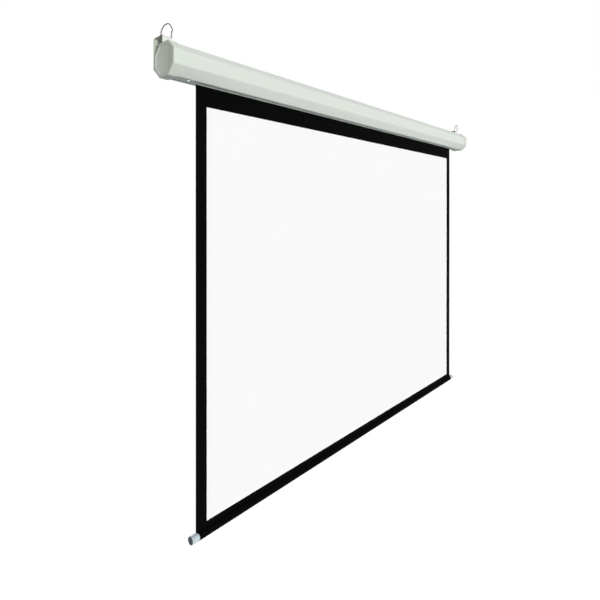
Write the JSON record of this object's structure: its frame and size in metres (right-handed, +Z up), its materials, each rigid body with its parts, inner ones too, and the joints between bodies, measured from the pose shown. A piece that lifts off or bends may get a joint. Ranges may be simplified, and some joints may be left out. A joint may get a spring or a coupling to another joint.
{
  "type": "motorized projector screen",
  "caption": "Pull-down projection screen: octagonal case on two wire bails, black-bordered white fabric on a motor-driven roller, round weight tube in the hem.",
  "frame": {"origin": "middle of the case's flat back, on the plane of that flat", "axes": "+X along the case to the viewer's right, +Y out of the back towards the wall, +Z up"},
  "size_m": [2.018, 0.1094, 1.5403],
  "materials": {
    "case_paint": "satin powder coat, faintly green white",
    "cap_plastic": "fine moulded texture, warm white",
    "hanger_paint": "satin powder coat",
    "bail_wire": "plain drawn wire",
    "edge_strip": "satin",
    "zinc_steel": "zinc plated",
    "motor_metal": "satin",
    "head_plastic": "moulded",
    "roller_metal": "mill finish",
    "screen_fabric": "matt white with a black border, black back",
    "black_fabric": "matt black",
    "tube_finish": "satin, pale blue grey",
    "plug_plastic": "moulded, dark slate",
    "nylon": "natural nylon",
    "bush_plastic": "moulded",
    "rubber": "matt",
    "terminal_plastic": "moulded",
    "limit_screw": "moulded, yellow"
  },
  "bodies": {
    "case": {"case_shell": "case_paint", "slot_guide_front": "edge_strip", "slot_guide_rear": "edge_strip", "end_cap_left": "cap_plastic", "end_plate_left": "zinc_steel", "hanger_left": "hanger_paint", "plate_screw_left": "zinc_steel", "hanger_screw_left_lower": "zinc_steel", "bracket_screw_left_lower": "zinc_steel", "hanger_screw_left_upper": "zinc_steel", "bracket_screw_left_upper": "zinc_steel", "end_cap_right": "cap_plastic", "end_plate_right": "zinc_steel", "hanger_right": "hanger_paint", "plate_screw_right": "zinc_steel", "hanger_screw_right_lower": "zinc_steel", "bracket_screw_right_lower": "zinc_steel", "hanger_screw_right_upper": "zinc_steel", "bracket_screw_right_upper": "zinc_steel", "motor_bracket": "zinc_steel", "motor_head": "head_plastic", "motor_split_pin": "zinc_steel", "motor_tube": "motor_metal", "gearbox_tube": "motor_metal", "idler_bracket": "zinc_steel", "idler_pin": "zinc_steel", "idler_ring": "zinc_steel", "cable_grommet": "rubber", "terminal_block": "terminal_plastic", "fabric_panel": "screen_fabric"},
    "roller": {"roller_tube": "roller_metal", "fabric_roll": "black_fabric", "limit_ring": "nylon", "output_shaft": "zinc_steel", "drive_wheel": "nylon", "drive_wheel_screw": "zinc_steel", "idler_plug": "nylon", "idler_bush": "bush_plastic"},
    "weight_bar": {"weight_tube": "tube_finish", "tube_plug_left": "plug_plastic", "tube_plug_right": "plug_plastic", "hem_pocket": "black_fabric"},
    "bail_left": {"bail_left": "bail_wire"},
    "bail_right": {"bail_right": "bail_wire"},
    "limit_up": {"limit_screw_up": "limit_screw"},
    "limit_down": {"limit_screw_down": "limit_screw"}
  },
  "joints": [
    {"name": "screen_drop", "type": "slide", "parent": "case", "child": "weight_bar", "axis": [0, 0, 1], "range_m": [0, 1.354], "deforming": ["fabric_panel"]},
    {"name": "roller_spin", "type": "hinge", "parent": "case", "child": "roller", "pos_m": [0, -0.0675, 0], "axis": [1, 0, 0], "range_deg": [0, 3100]},
    {"name": "bail_left_swing", "type": "hinge", "parent": "case", "child": "bail_left", "pos_m": [-0.991, -0.04, 0.0675], "axis": [1, 0, 0], "range_deg": [-80, 84]},
    {"name": "bail_right_swing", "type": "hinge", "parent": "case", "child": "bail_right", "pos_m": [0.991, -0.04, 0.0675], "axis": [1, 0, 0], "range_deg": [-80, 84]},
    {"name": "limit_up_turn", "type": "hinge", "parent": "case", "child": "limit_up", "pos_m": [0.9106, -0.0675, -0.023], "axis": [0, 0, 1], "range_deg": [-1800, 1800]},
    {"name": "limit_down_turn", "type": "hinge", "parent": "case", "child": "limit_down", "pos_m": [0.9106, -0.0575, -0.023], "axis": [0, 0, 1], "range_deg": [-1800, 1800]}
  ],
  "couplings": [
    {"joint": "roller_spin", "follows": "screen_drop", "rad_per_m": 39.8}
  ]
}
